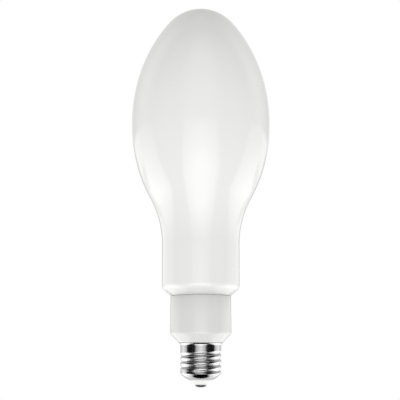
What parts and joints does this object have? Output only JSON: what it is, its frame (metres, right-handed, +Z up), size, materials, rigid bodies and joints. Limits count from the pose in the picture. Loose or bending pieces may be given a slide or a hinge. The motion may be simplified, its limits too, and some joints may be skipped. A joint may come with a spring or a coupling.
{
  "type": "led filament bulb",
  "caption": "Opal egg-shaped LED filament lamp with a white collar and an E27 screw base, for a pendant, lantern or high ceiling fitting.",
  "frame": {"origin": "middle of the flat land on the underside of the centre contact", "axes": "+Z up along the lamp's axis from the centre contact to the top of the glass, -Y towards the viewer of the picture, +X to the viewer's right"},
  "size_m": [0.0878, 0.0878, 0.2394],
  "materials": {
    "opal_glass": "glossy opal glass, not see-through",
    "white_silicone": "matt cured silicone",
    "white_moulding": "satin white moulding",
    "nickel_plated_sheet": "bright nickel plate",
    "white_insulator": "glossy white insulator",
    "dull_solder": "dull grey contact metal",
    "green_board": "solder mask over glass fibre",
    "black_can_sleeve": "shrink sleeve",
    "blue_can_sleeve": "shrink sleeve",
    "grey_ferrite": "sintered ferrite",
    "enamelled_copper": "enamelled copper wire",
    "black_epoxy": "moulded epoxy",
    "resistor_ceramic": "glazed chip",
    "fuse_enamel": "enamel coat",
    "yellow_film_case": "moulded case",
    "blue_varistor_coat": "dipped coat",
    "red_wire_sleeve": "wire insulation",
    "black_wire_sleeve": "wire insulation",
    "lead_in_metal": "copper-clad lead-in wire"
  },
  "bodies": {
    "root": {"glass_bulb": "opal_glass", "bonding_ring": "white_silicone", "base_collar": "white_moulding", "screw_shell": "nickel_plated_sheet", "base_insulator": "white_insulator", "centre_contact": "dull_solder", "driver_board": "green_board", "storage_capacitor": "black_can_sleeve", "output_capacitor": "blue_can_sleeve", "choke_core": "grey_ferrite", "choke_winding": "enamelled_copper", "bridge_rectifier": "black_epoxy", "controller_chip": "black_epoxy", "freewheel_diode": "black_epoxy", "sense_resistor": "resistor_ceramic", "bleed_resistor": "resistor_ceramic", "fuse_resistor": "fuse_enamel", "film_capacitor": "yellow_film_case", "varistor": "blue_varistor_coat", "live_wire": "red_wire_sleeve", "neutral_wire": "black_wire_sleeve", "lead_in_positive": "lead_in_metal", "lead_in_negative": "lead_in_metal"}
  },
  "joints": []
}
